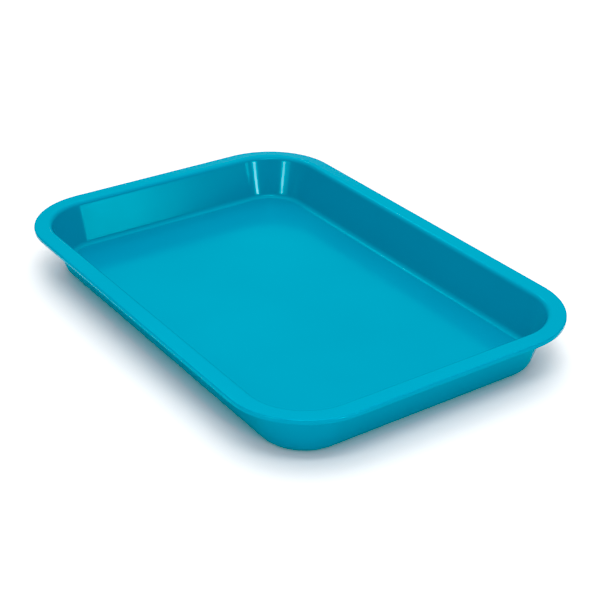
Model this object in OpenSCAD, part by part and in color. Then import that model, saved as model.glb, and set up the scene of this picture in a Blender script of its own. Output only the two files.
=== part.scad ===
// Shallow rectangular mud pan, moulded in one piece. All sizes are in millimetres and angles in degrees.
// The origin is the centre of the resting face, with X along the length and Z up.

/* [Plan] */
// Length over the rim
length = 350; // [250:1:600]
// Width over the rim
width = 240; // [200:1:450]
// Corner radius of the outer edge of the rim
rim_corner_radius = 52.5; // [44:0.5:64]
// Corner radius of the opening, where the flat rim ends
opening_corner_radius = 41; // [34:0.5:50]

/* [Wall and floor] */
// Thickness of the walls, the floor and the rim
wall = 2.4; // [1.6:0.1:3.2]
// Depth from the top of the rim to the floor
depth = 30.2; // [20:0.1:40]
// Lean of the walls from upright
wall_lean = 18; // [8:0.5:20]
// Radius between the floor and the walls, inside
floor_radius = 4.5; // [3:0.1:9]

/* [Rim] */
// Width of the flat rim, from its outer edge to where it starts to curve down
rim_width = 9.5; // [7:0.1:14]
// Radius from the rim down into the walls, inside
rim_radius = 4; // [3.5:0.1:6]
// Height of the turned-down outer edge
lip_height = 3.4; // [2.6:0.1:6]
// Thickness of the turned-down outer edge
lip_width = 2.4; // [1.5:0.1:3]
// Radius along the top of the outer edge
lip_top_radius = 1.2; // [0.4:0.1:1.4]
// Radius along the bottom of the outer edge
lip_bottom_radius = 0.8; // [0.3:0.1:1.3]

/* [Foot] */
// Height of the foot ring under the floor
foot_height = 3.2; // [1:0.1:6]
// Width of the flat that the foot ring rests on
foot_width = 2.6; // [1.5:0.1:6]

/* [Gate mark] */
// Diameter of the shallow moulding gate recess under the floor
gate_diameter = 9; // [4:0.5:16]
// Depth of the moulding gate recess
gate_depth = 0.5; // [0.2:0.1:0.8]

/* [Hidden] */
$fn = 96;

height = foot_height + wall + depth;
rim_underside = height - wall;
floor_top = foot_height + wall;

// The wall section is drawn outward from the axis of an opening corner, so X is a distance from that axis.
opening_x = length / 2 - rim_width - opening_corner_radius;
opening_y = width / 2 - rim_width - opening_corner_radius;
rim_x = length / 2 - rim_corner_radius;
rim_y = width / 2 - rim_corner_radius;

// Unit directions of the leaning wall: out through its thickness, and down along it.
wall_out = [cos(wall_lean), -sin(wall_lean)];
wall_down = [-sin(wall_lean), -cos(wall_lean)];

// Straight steps in each rounded part of the section.
arc_steps = 8;

// Centre of the rim curve.
rim_centre = [opening_corner_radius, height - rim_radius];

// Centre of a curve that a wall face at this distance from the rim centre runs into, ending level at z.
function tangent_centre(face, radius, z) =
    let (start = rim_centre - (face + radius) * wall_out)
    start + wall_down * (start[1] - z - radius) / cos(wall_lean);

floor_centre = tangent_centre(rim_radius, floor_radius, floor_top);
foot_radius = floor_radius + wall;
foot_centre = tangent_centre(rim_radius - wall, foot_radius, 0);
foot_inside = foot_centre[0] - foot_width;

// Points along an arc from one angle to another.
function arc(centre, radius, from, to) =
    [for (step = [0:arc_steps])
        let (angle = from + (to - from) * step / arc_steps)
        centre + radius * [cos(angle), sin(angle)]];

// Floor, wall and rim curve in one outline: up the inside, over the rim curve and down the outside to the foot.
module wall_section() {
    polygon(concat(
        [[0, foot_height], [0, floor_top]],
        arc(floor_centre, floor_radius, -90, -wall_lean),
        arc(rim_centre, rim_radius, 180 - wall_lean, 90),
        arc(rim_centre, rim_radius - wall, 90, 180 - wall_lean),
        arc(foot_centre, foot_radius, -wall_lean, -90),
        [[foot_inside, 0], [foot_inside, foot_height]]
    ));
}

// Turned-down outer edge with both of its outer corners rounded, drawn from the axis of a rim corner.
module lip_section() {
    top_centre = [rim_corner_radius - lip_top_radius, height - lip_top_radius];
    bottom_centre = [rim_corner_radius - lip_bottom_radius, height - lip_height + lip_bottom_radius];
    inside = rim_corner_radius - lip_width;
    polygon(concat(
        [[inside, height], [inside, height - lip_height]],
        arc(bottom_centre, lip_bottom_radius, -90, 0),
        arc(top_centre, lip_top_radius, 0, 90)
    ));
}

// Sweeps a section round a rectangle whose corner axes stand at plus and minus x and y.
module sweep_round(x, y) {
    for (turn = [0, 180])
        rotate(turn) {
            translate([x, y, 0])
                rotate_extrude(angle = 90)
                    children();
            translate([-x, y, 0])
                rotate(90)
                    rotate_extrude(angle = 90)
                        children();
            translate([x, y, 0])
                rotate([90, 0, 0])
                    linear_extrude(height = 2 * y)
                        children();
            translate([-x, y, 0])
                rotate([90, 0, 90])
                    linear_extrude(height = 2 * x)
                        children();
        }
}

// Rectangle with round corners whose axes stand at plus and minus x and y.
module round_rectangle(x, y, radius) {
    square([2 * (x + radius), 2 * y], center = true);
    square([2 * x, 2 * (y + radius)], center = true);
    for (sx = [-x, x], sy = [-y, y])
        translate([sx, sy])
            circle(r = radius);
}

// Flat part of the rim, between the turned-down edge and the curve into the walls.
module flat_rim() {
    translate([0, 0, rim_underside])
        linear_extrude(height = wall)
            difference() {
                round_rectangle(rim_x, rim_y, rim_corner_radius - lip_width);
                round_rectangle(opening_x, opening_y, opening_corner_radius);
            }
}

module floor_middle() {
    translate([-opening_x, -opening_y, foot_height])
        cube([2 * opening_x, 2 * opening_y, wall]);
}

module tray() {
    color("darkturquoise")
        difference() {
            union() {
                sweep_round(opening_x, opening_y)
                    wall_section();
                floor_middle();
                flat_rim();
                sweep_round(rim_x, rim_y)
                    lip_section();
            }
            translate([0, 0, foot_height - 1])
                cylinder(d = gate_diameter, h = 1 + gate_depth);
        }
}

tray();
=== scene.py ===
"""Looks of the mud pan: one moulded tray in gloss turquoise plastic, on a pale studio floor.

All sizes are in metres.
"""

import math

import bpy
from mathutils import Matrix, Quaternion, Vector


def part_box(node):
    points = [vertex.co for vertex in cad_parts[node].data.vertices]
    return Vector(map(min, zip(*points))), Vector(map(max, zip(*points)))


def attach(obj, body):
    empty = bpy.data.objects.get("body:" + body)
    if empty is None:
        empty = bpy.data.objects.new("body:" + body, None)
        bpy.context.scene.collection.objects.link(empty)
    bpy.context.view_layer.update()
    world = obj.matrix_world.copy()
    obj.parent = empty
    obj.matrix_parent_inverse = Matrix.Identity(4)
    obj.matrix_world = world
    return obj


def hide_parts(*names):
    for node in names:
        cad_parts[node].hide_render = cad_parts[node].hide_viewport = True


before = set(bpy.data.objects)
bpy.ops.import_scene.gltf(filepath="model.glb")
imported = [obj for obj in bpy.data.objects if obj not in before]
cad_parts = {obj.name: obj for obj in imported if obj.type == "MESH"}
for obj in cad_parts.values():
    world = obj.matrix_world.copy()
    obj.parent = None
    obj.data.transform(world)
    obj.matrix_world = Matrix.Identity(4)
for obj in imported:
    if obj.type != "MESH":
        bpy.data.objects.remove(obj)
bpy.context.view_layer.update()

# The moulding's overall size comes from the frame. Its section is the design's own.
LOW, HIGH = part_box("tray")
LENGTH, WIDTH, HEIGHT = HIGH - LOW
WALL = 0.0024
WALL_LEAN = math.radians(18)
RIM_WIDTH = 0.0095
RIM_RADIUS = 0.0040
RIM_CORNER_RADIUS = 0.0525
OPENING_CORNER_RADIUS = 0.0410
LIP_WIDTH = 0.0024
LIP_HEIGHT = 0.0034
LIP_TOP_RADIUS = 0.0012
LIP_BOTTOM_RADIUS = 0.0008
FLOOR_RADIUS = 0.0045
FOOT_HEIGHT = 0.0032
FOOT_WIDTH = 0.0026
GATE_RADIUS = 0.0045
GATE_DEPTH = 0.0005
NUB_RADIUS = 0.0009
NUB_HEIGHT = 0.0003

# Small radii that every moulded edge has.
TOOL_RADIUS = 0.0004
GATE_EDGE = 0.00015

# Levels, and the axes that the two sweeps turn their corners about.
RIM_UNDERSIDE = HEIGHT - WALL
FLOOR_TOP = FOOT_HEIGHT + WALL
OPENING_AXES = Vector((LENGTH / 2, WIDTH / 2)) - Vector((1, 1)) * (RIM_WIDTH + OPENING_CORNER_RADIUS)
RIM_AXES = Vector((LENGTH / 2, WIDTH / 2)) - Vector((1, 1)) * RIM_CORNER_RADIUS
RIM_CENTRE = Vector((OPENING_CORNER_RADIUS, HEIGHT - RIM_RADIUS))

# How finely the mesh is cut: round a corner, along a side, and along each curve of the two sections.
CORNER_STEPS = 32
SIDE_STEPS = 16
CURVE_STEPS = 10
GATE_STEPS = 5

# Rings across the flat floor and its underside, as shares of the way out from the middle.
FLAT_SHARES = (0.25, 0.5, 0.75)

QUARTER_TURN = math.radians(90)


# Shape: a section of rows is swept round the pan. A row is one closed ring of points with its normals.


def stations():
    """Each point of a ring: its share of the axes' rectangle, and its outward direction."""
    out = []
    corners = [(1, 1), (-1, 1), (-1, -1), (1, -1)]
    for quarter, corner in enumerate(corners):
        following = corners[(quarter + 1) % len(corners)]
        for step in range(CORNER_STEPS):
            angle = (quarter + step / CORNER_STEPS) * QUARTER_TURN
            out.append((Vector(corner), Vector((math.cos(angle), math.sin(angle)))))
        turned = (quarter + 1) * QUARTER_TURN
        side = Vector((math.cos(turned), math.sin(turned)))
        for step in range(SIDE_STEPS):
            out.append((Vector(corner).lerp(Vector(following), step / SIDE_STEPS), side))
    return out


STATIONS = stations()


def tilted(out, tilt):
    """A normal at this angle above an outward direction."""
    return Vector((out.x * math.cos(tilt), out.y * math.cos(tilt), math.sin(tilt)))


def row(axes, radius, z, tilt, wear):
    """A ring at this radius from the axes. Tilt is its normal's angle above outward."""
    points, normals = [], []
    for share, out in STATIONS:
        flat = Vector((share.x * axes.x, share.y * axes.y)) + out * radius
        points.append(Vector((flat.x, flat.y, z)))
        normals.append(tilted(out, tilt))
    return points, normals, wear


def arc_spots(centre, radius, start, end, steps):
    """Spots along an arc: the place, the angle of the normal, and the share of the way.

    A hollow arc, given a negative radius, faces its own centre.
    """
    spots = []
    for step in range(steps + 1):
        share = step / steps
        angle = math.radians(start + (end - start) * share)
        place = centre + abs(radius) * Vector((math.cos(angle), math.sin(angle)))
        facing = angle if radius > 0 else angle + math.pi
        spots.append((place, facing, share))
    return spots


def curve(axes, centre, radius, start, end, wear=0.0):
    """Rows along an arc of the section, from one angle in degrees to another, worn most at its middle."""
    rows = []
    for place, facing, share in arc_spots(centre, radius, start, end, CURVE_STEPS):
        rows.append(row(axes, place.x, place.y, facing, wear * math.sin(math.pi * share)))
    return rows


def tangent_centre(face, radius, level):
    """Centre of a section curve that runs from the wall's face into a level."""
    out = Vector((math.cos(WALL_LEAN), -math.sin(WALL_LEAN)))
    down = Vector((-math.sin(WALL_LEAN), -math.cos(WALL_LEAN)))
    start = RIM_CENTRE - (face + radius) * out
    return start + down * (start.y - level - radius) / math.cos(WALL_LEAN)


def inside_rows():
    """From the edge of the floor up the wall and over the rim curve."""
    lean = math.degrees(WALL_LEAN)
    floor = tangent_centre(RIM_RADIUS, FLOOR_RADIUS, FLOOR_TOP)
    rows = curve(OPENING_AXES, floor, -FLOOR_RADIUS, -90, -lean)
    return rows + curve(OPENING_AXES, RIM_CENTRE, RIM_RADIUS, 180 - lean, 90, wear=0.15)


def lip_rows():
    """Over the outer edge of the rim and round the turned-down lip to the rim's underside."""
    edge = RIM_CORNER_RADIUS
    inner = edge - LIP_WIDTH
    top = Vector((edge - LIP_TOP_RADIUS, HEIGHT - LIP_TOP_RADIUS))
    low = Vector((edge - LIP_BOTTOM_RADIUS, HEIGHT - LIP_HEIGHT + LIP_BOTTOM_RADIUS))
    low_in = Vector((inner + TOOL_RADIUS, HEIGHT - LIP_HEIGHT + TOOL_RADIUS))
    under = Vector((inner - TOOL_RADIUS, RIM_UNDERSIDE - TOOL_RADIUS))
    rows = curve(RIM_AXES, top, LIP_TOP_RADIUS, 90, 0, wear=1.0)
    rows += curve(RIM_AXES, low, LIP_BOTTOM_RADIUS, 0, -90, wear=0.8)
    rows += curve(RIM_AXES, low_in, TOOL_RADIUS, -90, -180, wear=0.5)
    return rows + curve(RIM_AXES, under, -TOOL_RADIUS, 0, 90)


def outside_rows():
    """From the rim's underside down the outer wall, round the foot ring and up to the floor's underside."""
    lean = math.degrees(WALL_LEAN)
    foot_radius = FLOOR_RADIUS + WALL
    foot = tangent_centre(RIM_RADIUS - WALL, foot_radius, 0)
    inner = foot.x - FOOT_WIDTH
    toe = Vector((inner + TOOL_RADIUS, TOOL_RADIUS))
    root = Vector((inner - TOOL_RADIUS, FOOT_HEIGHT - TOOL_RADIUS))
    rows = curve(OPENING_AXES, RIM_CENTRE, WALL - RIM_RADIUS, 90, 180 - lean)
    rows += curve(OPENING_AXES, foot, foot_radius, -lean, -90, wear=0.6)
    rows += curve(OPENING_AXES, toe, TOOL_RADIUS, -90, -180, wear=0.8)
    return rows + curve(OPENING_AXES, root, -TOOL_RADIUS, 0, 90)


def shrunk(ring, share):
    """A flat ring drawn in towards the middle."""
    points, normals, _ = ring
    inner = [Vector((p.x * share, p.y * share, p.z)) for p in points]
    return inner, normals, 0.0


def disc_row(outline, radius, z, tilt):
    """A round ring about the middle, each point on the same bearing as the outline's."""
    points, normals = [], []
    for p in outline[0]:
        out = Vector((p.x, p.y)).normalized()
        points.append(Vector((out.x * radius, out.y * radius, z)))
        normals.append(tilted(out, tilt))
    return points, normals, 0.0


def disc_curve(outline, centre, radius, start, end):
    """Round rings along an arc of the gate's section, from one angle in degrees to another."""
    spots = arc_spots(centre, radius, start, end, GATE_STEPS)
    return [disc_row(outline, place.x, place.y, facing) for place, facing, _ in spots]


def gate_rows(outline):
    """The moulding gate: a shallow round recess under the floor, with the cut end of the sprue in it."""
    top = FOOT_HEIGHT + GATE_DEPTH
    mouth = Vector((GATE_RADIUS + GATE_EDGE, FOOT_HEIGHT + GATE_EDGE))
    root = Vector((GATE_RADIUS - GATE_EDGE, top - GATE_EDGE))
    nub_root = Vector((NUB_RADIUS + GATE_EDGE, top - GATE_EDGE))
    nub_end = Vector((NUB_RADIUS - GATE_EDGE, top - NUB_HEIGHT + GATE_EDGE))
    rows = disc_curve(outline, mouth, GATE_EDGE, -90, -180)
    rows += disc_curve(outline, root, -GATE_EDGE, 0, 90)
    rows += disc_curve(outline, nub_root, -GATE_EDGE, 90, 180)
    return rows + disc_curve(outline, nub_end, GATE_EDGE, 0, -90)


def section_rows():
    """Every row in order, from the middle of the floor round to the middle of the underside."""
    inside, outside = inside_rows(), outside_rows()
    floor = [shrunk(inside[0], share) for share in FLAT_SHARES]
    underside = [shrunk(outside[-1], share) for share in reversed(FLAT_SHARES)]
    return floor + inside + lip_rows() + outside + underside + gate_rows(outside[-1])


def band_faces(row_count):
    """Quads between each row and the next."""
    count = len(STATIONS)
    faces = []
    for lower in range(row_count - 1):
        a, b = lower * count, (lower + 1) * count
        for i in range(count):
            j = (i + 1) % count
            faces.append((a + i, b + i, b + j, a + j))
    return faces


def fan_faces(ring, middle, up):
    """Triangles between a row and a point in its middle, facing up or down."""
    count = len(STATIONS)
    faces = []
    for i in range(count):
        a, b = ring * count + i, ring * count + (i + 1) % count
        faces.append((middle, a, b) if up else (middle, b, a))
    return faces


def pan_mesh():
    """The whole moulding as one closed mesh, with exact normals and an edge attribute for wear."""
    rows = section_rows()
    points = [p for ring in rows for p in ring[0]]
    normals = [n for ring in rows for n in ring[1]]
    wear = [ring[2] for ring in rows for _ in STATIONS]
    faces = band_faces(len(rows))
    for ring, up in ((0, True), (len(rows) - 1, False)):
        faces += fan_faces(ring, len(points), up)
        points.append(Vector((0, 0, rows[ring][0][0].z)))
        normals.append(Vector((0, 0, 1 if up else -1)))
        wear.append(0.0)
    mesh = bpy.data.meshes.new("pan_moulding")
    mesh.from_pydata(points, [], faces)
    mesh.attributes.new("edge", "FLOAT", "POINT").data.foreach_set("value", wear)
    mesh.shade_smooth()
    mesh.normals_split_custom_set_from_vertices(normals)
    mesh.update()
    return mesh


def make_pan():
    """The moulding, in place of the design's tray."""
    pan = bpy.data.objects.new("pan_moulding", pan_mesh())
    bpy.context.scene.collection.objects.link(pan)
    pan.data.materials.append(turquoise_plastic())
    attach(pan, "root")
    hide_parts("tray")


# Materials

# The plastic's two body tones, the paler tone of rubbed plastic, and the most of it that an edge takes on.
BODY_TONE = (0.0, 0.215, 0.350)
FLOW_TONE = (0.0, 0.228, 0.364)
RUBBED_TONE = (0.05, 0.36, 0.50)
RUBBED_SHARE = 0.18

# The plastic's roughness where it is smoothest and least smooth, and what smudges and rubbing add to it.
SMOOTHEST = 0.15
LEAST_SMOOTH = 0.19
SMUDGED_ROUGHNESS = 0.02
RUBBED_ROUGHNESS = 0.12

# Heights of the slow waves and of the orange peel in the plastic's surface.
WAVE_HEIGHT = 0.00006
PEEL_HEIGHT = 0.0000015

PLASTIC_IOR = 1.46
HIGHLIGHT_TINT = (0.45, 0.95, 1.0, 1.0)

# The studio floor's two tones, its roughness and its faint shine.
STUDIO_TONE = (0.90, 0.90, 0.90)
STUDIO_PALER_TONE = (0.92, 0.92, 0.92)
STUDIO_ROUGHNESS = 0.9
STUDIO_SHINE = 0.1

# Sockets of a colour mix, which go by number because its names repeat.
MIX_COLOURS = (6, 7)
MIXED_COLOUR = 2


class Nodes:
    """Adds and links the nodes of one material."""

    def __init__(self, name):
        self.material = bpy.data.materials.new(name)
        self.material.use_nodes = True
        self.tree = self.material.node_tree
        self.shader = self.tree.nodes["Principled BSDF"]
        self.place = self.add("ShaderNodeTexCoord").outputs["Object"]

    def add(self, kind, **settings):
        """A new node with these properties set."""
        node = self.tree.nodes.new(kind)
        for name, value in settings.items():
            setattr(node, name, value)
        return node

    def link(self, source, target):
        self.tree.links.new(source, target)

    def noise(self, scale, detail=2.0, roughness=0.5):
        """Noise over the object, with scale in cells per metre."""
        node = self.add("ShaderNodeTexNoise")
        node.inputs["Scale"].default_value = scale
        node.inputs["Detail"].default_value = detail
        node.inputs["Roughness"].default_value = roughness
        self.link(self.place, node.inputs["Vector"])
        return node.outputs["Fac"]

    def ranged(self, value, low, high, to_low=0.0, to_high=1.0):
        """The stretch of a value from low to high, spread from to_low to to_high."""
        node = self.add("ShaderNodeMapRange")
        self.link(value, node.inputs["Value"])
        node.inputs["From Min"].default_value = low
        node.inputs["From Max"].default_value = high
        node.inputs["To Min"].default_value = to_low
        node.inputs["To Max"].default_value = to_high
        return node.outputs["Result"]

    def maths(self, operation, a, b):
        """The result of an operation on two values, each a socket or a number."""
        node = self.add("ShaderNodeMath", operation=operation)
        for socket, value in zip(node.inputs, (a, b)):
            if isinstance(value, float):
                socket.default_value = value
            else:
                self.link(value, socket)
        return node.outputs["Value"]

    def mixed(self, share, a, b):
        """A colour between two others, each a socket or a colour."""
        node = self.add("ShaderNodeMix", data_type="RGBA")
        self.link(share, node.inputs["Factor"])
        for number, value in zip(MIX_COLOURS, (a, b)):
            if isinstance(value, tuple):
                node.inputs[number].default_value = (*value, 1.0)
            else:
                self.link(value, node.inputs[number])
        return node.outputs[MIXED_COLOUR]

    def bump(self, height, distance, under=None):
        """A bumped normal, distance high, over the one that lies under it."""
        node = self.add("ShaderNodeBump")
        node.inputs["Distance"].default_value = distance
        node.inputs["Strength"].default_value = 1.0
        self.link(height, node.inputs["Height"])
        if under is not None:
            self.link(under, node.inputs["Normal"])
        return node.outputs["Normal"]


def turquoise_plastic():
    """Gloss moulded plastic: faint flow shading, a fine orange peel and softly rubbed edges."""
    n = Nodes("turquoise_plastic")
    edge = n.add("ShaderNodeAttribute", attribute_name="edge").outputs["Fac"]
    flow = n.ranged(n.noise(scale=9.0, detail=3.0), low=0.35, high=0.65)
    grime = n.ranged(n.noise(scale=140.0, detail=6.0, roughness=0.65), low=0.5, high=0.75)
    patchy = n.ranged(n.noise(scale=260.0, detail=4.0), low=0.4, high=0.7, to_low=0.1)
    rubbed = n.maths("MULTIPLY", edge, patchy)

    body = n.mixed(flow, BODY_TONE, FLOW_TONE)
    colour = n.mixed(n.maths("MULTIPLY", rubbed, RUBBED_SHARE), body, RUBBED_TONE)
    n.link(colour, n.shader.inputs["Base Color"])

    polish = n.noise(scale=22.0, detail=4.0)
    smooth = n.ranged(polish, low=0.3, high=0.7, to_low=SMOOTHEST, to_high=LEAST_SMOOTH)
    smudged = n.maths("ADD", smooth, n.maths("MULTIPLY", grime, SMUDGED_ROUGHNESS))
    rough = n.maths("ADD", smudged, n.maths("MULTIPLY", rubbed, RUBBED_ROUGHNESS))
    n.link(rough, n.shader.inputs["Roughness"])

    waves = n.bump(n.noise(scale=30.0, detail=1.0), WAVE_HEIGHT)
    peel = n.bump(n.noise(scale=900.0), PEEL_HEIGHT, under=waves)
    n.link(peel, n.shader.inputs["Normal"])

    n.shader.inputs["IOR"].default_value = PLASTIC_IOR
    n.shader.inputs["Specular Tint"].default_value = HIGHLIGHT_TINT
    return n.material


def floor_material():
    """Pale painted studio floor with a barely visible tone change."""
    n = Nodes("pale_floor")
    tone = n.ranged(n.noise(scale=3.0), low=0.3, high=0.7)
    n.link(n.mixed(tone, STUDIO_TONE, STUDIO_PALER_TONE), n.shader.inputs["Base Color"])
    n.shader.inputs["Roughness"].default_value = STUDIO_ROUGHNESS
    n.shader.inputs["Specular IOR Level"].default_value = STUDIO_SHINE
    return n.material


# Studio

STUDIO_SIZE = 12.0

# Softboxes: azimuth and elevation in degrees, distance, width and height, and power in watts.
SOFTBOXES = {
    "overhead_softbox": (60.0, 60.0, 1.3, 0.60, 0.14, 3.4),
    "back_softbox": (256.0, 45.0, 1.6, 0.5, 0.25, 1.0),
    "right_softbox": (96.4, 10.0, 1.8, 0.22, 0.36, 6.6),
    "side_softbox": (114.2, 8.0, 5.5, 0.36, 1.1, 15.5),
    "left_softbox": (20.0, 10.0, 1.8, 0.22, 0.36, 5.4),
    "front_softbox": (9.0, 10.0, 1.8, 0.30, 0.36, 1.2),
}

# Pale surroundings: an even glow, and broad soft lobes. A lobe has an azimuth and an elevation in degrees,
# then its sharpness and its radiance.
EVEN_GLOW = 0.02
LOBES = {
    "above": (0.0, 90.0, 3.0, 2.2),
    "front_left": (-25.0, 15.0, 2.0, 0.2),
    "right": (125.0, 15.0, 3.0, 0.22),
    "back": (235.0, 30.0, 3.0, 1.0),
}


def make_floor():
    """One large square, level with the face that the pan rests on."""
    half = STUDIO_SIZE / 2
    corners = [(-half, -half, 0), (half, -half, 0), (half, half, 0), (-half, half, 0)]
    mesh = bpy.data.meshes.new("studio_floor")
    mesh.from_pydata(corners, [], [(0, 1, 2, 3)])
    floor = bpy.data.objects.new("studio_floor", mesh)
    bpy.context.scene.collection.objects.link(floor)
    mesh.materials.append(floor_material())


def direction(azimuth, elevation):
    """Unit vector towards a place round the object. Azimuth 0 is the -Y side and 90 is the +X side."""
    a, e = math.radians(azimuth), math.radians(elevation)
    return Vector((math.sin(a) * math.cos(e), -math.cos(a) * math.cos(e), math.sin(e)))


def softbox(name, azimuth, elevation, distance, width, height, power):
    """A rectangular diffuser, aimed at the middle of the pan's resting face and unseen by the camera."""
    lamp = bpy.data.lights.new(name, "AREA")
    lamp.shape = "RECTANGLE"
    lamp.size, lamp.size_y = width, height
    lamp.energy = power
    lamp.spread = math.pi
    box = bpy.data.objects.new(name, lamp)
    bpy.context.scene.collection.objects.link(box)
    towards = direction(azimuth, elevation)
    box.location = towards * distance
    box.rotation_mode = "QUATERNION"
    box.rotation_quaternion = towards.to_track_quat("Z", "Y")
    box.visible_camera = False


def make_lights():
    for name, settings in SOFTBOXES.items():
        softbox(name, *settings)


def world_maths(tree, operation, value, number):
    """A node, among the world's, that works on a socket and a number."""
    node = tree.nodes.new("ShaderNodeMath")
    node.operation = operation
    tree.links.new(value, node.inputs[0])
    node.inputs[1].default_value = number
    return node


def add_lobe(tree, glow, place, name, azimuth, elevation, sharpness, radiance):
    """The glow so far, with one more lobe added to it."""
    facing = tree.nodes.new("ShaderNodeVectorMath")
    facing.operation = "DOT_PRODUCT"
    facing.inputs[1].default_value = direction(azimuth, elevation)
    tree.links.new(place, facing.inputs[0])
    positive = world_maths(tree, "MAXIMUM", facing.outputs["Value"], 0.0)
    shape = world_maths(tree, "POWER", positive.outputs["Value"], sharpness)
    more = world_maths(tree, "MULTIPLY_ADD", shape.outputs["Value"], radiance)
    more.name = "lobe_" + name
    tree.links.new(glow, more.inputs[2])
    return more.outputs["Value"]


def make_surroundings():
    """A white world whose strength is the even glow and all the lobes."""
    world = bpy.data.worlds.new("studio_surroundings")
    world.use_nodes = True
    tree = world.node_tree
    place = tree.nodes.new("ShaderNodeTexCoord").outputs["Generated"]
    even = tree.nodes.new("ShaderNodeValue")
    even.name = "even_glow"
    even.outputs["Value"].default_value = EVEN_GLOW
    glow = even.outputs["Value"]
    for name, settings in LOBES.items():
        glow = add_lobe(tree, glow, place, name, *settings)
    background = tree.nodes["Background"]
    tree.links.new(glow, background.inputs["Strength"])
    background.inputs["Color"].default_value = (1.0, 1.0, 1.0, 1.0)
    bpy.context.scene.world = world


# Camera and picture

VIEW_AZIMUTH = 55.6
VIEW_ELEVATION = 28.56
VIEW_ROLL = 0.23
VIEW_DISTANCE = 0.9524
AIM = Vector((0.0096, 0.0057, 0.0093))
LENS_MM = 84.84
SENSOR_MM = 36.0
NEAR_LIMIT = 0.01
FAR_LIMIT = 50.0

# The picture's red curve, as points of linear red and what is shown of it: none of it up to the first point,
# and all of it from the last point on.
RED_TOE = ((0.12, 0.0), (0.3, 0.3))


def make_camera():
    """The camera at the photograph's place and angle."""
    camera = bpy.data.cameras.new("photo_camera")
    camera.lens = LENS_MM
    camera.sensor_width = SENSOR_MM
    camera.clip_start, camera.clip_end = NEAR_LIMIT, FAR_LIMIT
    body = bpy.data.objects.new("photo_camera", camera)
    bpy.context.scene.collection.objects.link(body)
    towards = direction(VIEW_AZIMUTH, VIEW_ELEVATION)
    body.location = AIM + towards * VIEW_DISTANCE
    body.rotation_mode = "QUATERNION"
    level = towards.to_track_quat("Z", "Y")
    body.rotation_quaternion = level @ Quaternion((0, 0, 1), math.radians(VIEW_ROLL))
    bpy.context.scene.camera = body


def set_picture():
    """A plain picture, apart from its red curve, which lets weak reds go and so deepens the turquoise."""
    settings = bpy.context.scene.view_settings
    settings.view_transform = "Standard"
    settings.use_curve_mapping = True
    red = settings.curve_mapping.curves[0]
    for dark, shown in RED_TOE:
        red.points.new(dark, shown).handle_type = "VECTOR"
    for point in red.points:
        point.handle_type = "VECTOR"
    settings.curve_mapping.update()


make_camera()
make_pan()
make_floor()
make_surroundings()
make_lights()
set_picture()
